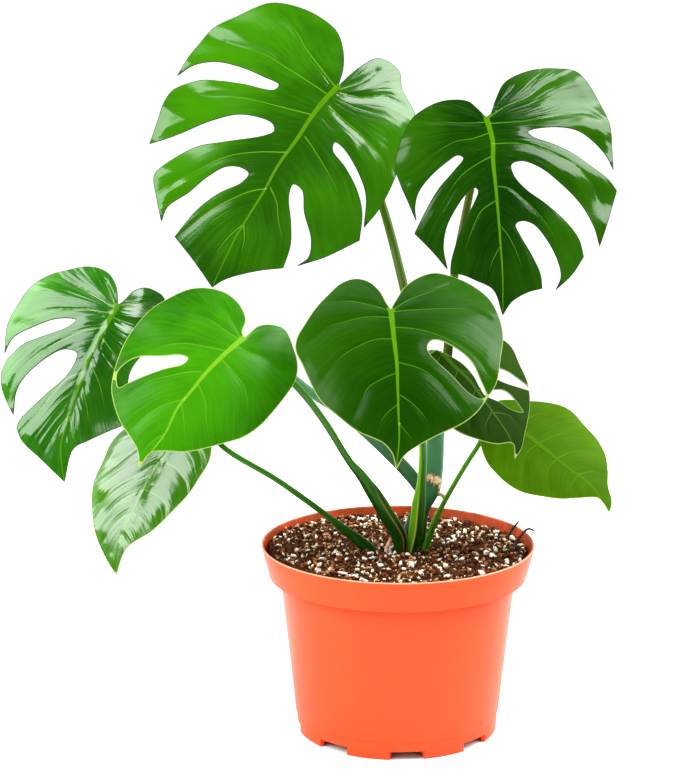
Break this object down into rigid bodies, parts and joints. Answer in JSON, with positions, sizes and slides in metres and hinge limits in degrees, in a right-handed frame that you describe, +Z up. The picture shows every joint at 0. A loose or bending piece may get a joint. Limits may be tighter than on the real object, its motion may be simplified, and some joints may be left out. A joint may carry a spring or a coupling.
{
  "type": "potted swiss cheese plant",
  "caption": "Swiss cheese plant with broad heart-shaped leaves, the larger ones slit and holed, on long stalks from one crown in a round tapered nursery pot filled with soil.",
  "frame": {"origin": "on the pot's axis at the level of the surface it stands on; the flat underside panel of the pot's floor, which the mount names, is 2.5 mm above it", "axes": "+Z up along the pot's axis; -Y is the side that the plant's leaves face; +X is to the right as seen from there"},
  "size_m": [0.3535, 0.2121, 0.4187],
  "materials": {
    "pot_plastic": "satin terracotta-orange moulded polypropylene",
    "potting_mix": "dark moist peat with white perlite and bark",
    "leaf_blade": "glossy dark to mid green leaf skin with pale veins",
    "young_blade": "satin yellow-green leaf skin with pale veins",
    "stem_skin": "satin olive to blue-green stalk skin",
    "root_skin": "matt pinkish-tan root skin",
    "dried_sheath": "matt papery tan"
  },
  "bodies": {
    "root": {"pot": "pot_plastic", "soil": "potting_mix", "crown_stem": "stem_skin", "blade_top_left": "leaf_blade", "blade_top_right": "leaf_blade", "blade_left": "leaf_blade", "blade_front_left": "leaf_blade", "blade_front": "leaf_blade", "blade_low_left": "leaf_blade", "blade_behind_right": "leaf_blade", "blade_low_right": "young_blade", "stalk_top_left": "stem_skin", "stalk_top_right": "stem_skin", "stalk_left": "stem_skin", "stalk_front_left": "stem_skin", "stalk_front": "stem_skin", "stalk_low_left": "stem_skin", "stalk_behind_right": "stem_skin", "stalk_low_right": "stem_skin", "shoot_tip": "stem_skin", "aerial_root": "root_skin", "root_peg": "root_skin", "dried_sheath": "dried_sheath"}
  },
  "joints": []
}
